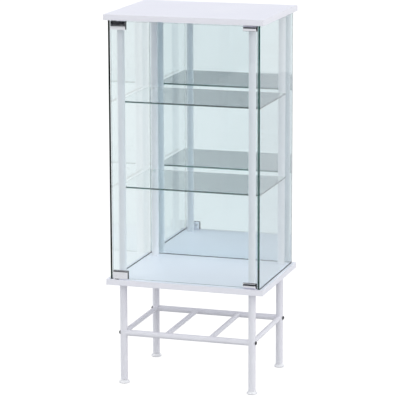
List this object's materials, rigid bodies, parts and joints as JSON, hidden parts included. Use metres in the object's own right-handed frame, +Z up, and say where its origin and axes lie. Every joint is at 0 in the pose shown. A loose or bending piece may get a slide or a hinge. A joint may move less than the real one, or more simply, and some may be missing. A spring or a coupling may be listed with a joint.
{
  "type": "curio cabinet",
  "caption": "Glazed display case with a mirror back, glass shelves and a hinged glass door, on a tube stand with a lower rack and levelling feet.",
  "frame": {"origin": "on the floor at the centre of the boards' footprint, between the four levelling feet", "axes": "+Z up, -Y towards the front where the door is, +X to the right as seen from the front"},
  "size_m": [0.425, 0.325, 0.98],
  "materials": {
    "board_laminate": "white melamine-faced chipboard, satin",
    "painted_tube": "white powder coat, semi-gloss",
    "clear_glass": "clear float glass, green polished edges",
    "silvered_glass": "silvered mirror glass",
    "backing_board": "white painted hardboard",
    "chrome_plate": "bright chrome plate",
    "bright_steel": "zinc-plated steel",
    "black_steel": "black oxide steel",
    "white_plastic": "moulded white plastic, satin",
    "black_plastic": "moulded black nylon, satin",
    "black_vinyl": "black soft vinyl, matt",
    "soft_vinyl": "translucent soft vinyl",
    "ferrite": "dark sintered ferrite"
  },
  "bodies": {
    "case": {"bottom_board": "board_laminate", "top_board": "board_laminate", "hole_plugs": "white_plastic", "side_glass_left": "clear_glass", "side_glass_right": "clear_glass", "mirror_glass": "silvered_glass", "mirror_backing": "backing_board", "hinge_bush_lower": "black_plastic", "hinge_bush_upper": "black_plastic", "catch_housing_lower": "white_plastic", "catch_housing_upper": "white_plastic", "catch_magnets": "ferrite", "catch_screws": "bright_steel", "shelf_pegs_lower": "bright_steel", "shelf_pegs_upper": "bright_steel", "shelf_sleeves_lower": "soft_vinyl", "shelf_sleeves_upper": "soft_vinyl", "post_front_left": "painted_tube", "post_front_right": "painted_tube", "post_rear_left": "painted_tube", "post_rear_right": "painted_tube", "leg_front_left": "painted_tube", "leg_front_right": "painted_tube", "leg_rear_left": "painted_tube", "leg_rear_right": "painted_tube", "post_plugs": "bright_steel", "leg_plugs": "bright_steel", "joining_studs": "bright_steel", "hanger_screws": "bright_steel", "side_bar_left": "painted_tube", "side_bar_right": "painted_tube", "rack_rail_front": "painted_tube", "rack_rail_rear": "painted_tube", "rack_bar_left": "painted_tube", "rack_bar_right": "painted_tube", "rail_plugs": "bright_steel", "rack_bolts": "black_steel", "foot_sockets": "white_plastic"},
    "door": {"door_glass": "clear_glass", "hinge_clip_lower": "chrome_plate", "hinge_clip_upper": "chrome_plate", "hinge_pin_lower": "bright_steel", "hinge_pin_upper": "bright_steel", "hinge_pads": "black_vinyl", "hinge_grub_screws": "black_steel", "strike_clip_lower": "chrome_plate", "strike_clip_upper": "chrome_plate"},
    "shelf_lower": {"shelf_lower": "clear_glass"},
    "shelf_upper": {"shelf_upper": "clear_glass"},
    "leveller_front_left": {"foot_front_left": "white_plastic", "foot_stud_front_left": "bright_steel"},
    "leveller_front_right": {"foot_front_right": "white_plastic", "foot_stud_front_right": "bright_steel"},
    "leveller_rear_left": {"foot_rear_left": "white_plastic", "foot_stud_rear_left": "bright_steel"},
    "leveller_rear_right": {"foot_rear_right": "white_plastic", "foot_stud_rear_right": "bright_steel"}
  },
  "joints": [
    {"name": "door_hinge", "type": "hinge", "parent": "case", "child": "door", "pos_m": [-0.185, -0.153, 0.6255], "axis": [0, 0, -1], "range_deg": [0, 105]},
    {"name": "shelf_lower_lift", "type": "slide", "parent": "case", "child": "shelf_lower", "axis": [0, 0, 1], "range_m": [0, 0.03]},
    {"name": "shelf_upper_lift", "type": "slide", "parent": "case", "child": "shelf_upper", "axis": [0, 0, 1], "range_m": [0, 0.03]},
    {"name": "leveller_front_left_screw", "type": "slide", "parent": "case", "child": "leveller_front_left", "axis": [0, 0, -1], "range_m": [0, 0.01]},
    {"name": "leveller_front_right_screw", "type": "slide", "parent": "case", "child": "leveller_front_right", "axis": [0, 0, -1], "range_m": [0, 0.01]},
    {"name": "leveller_rear_left_screw", "type": "slide", "parent": "case", "child": "leveller_rear_left", "axis": [0, 0, -1], "range_m": [0, 0.01]},
    {"name": "leveller_rear_right_screw", "type": "slide", "parent": "case", "child": "leveller_rear_right", "axis": [0, 0, -1], "range_m": [0, 0.01]}
  ]
}
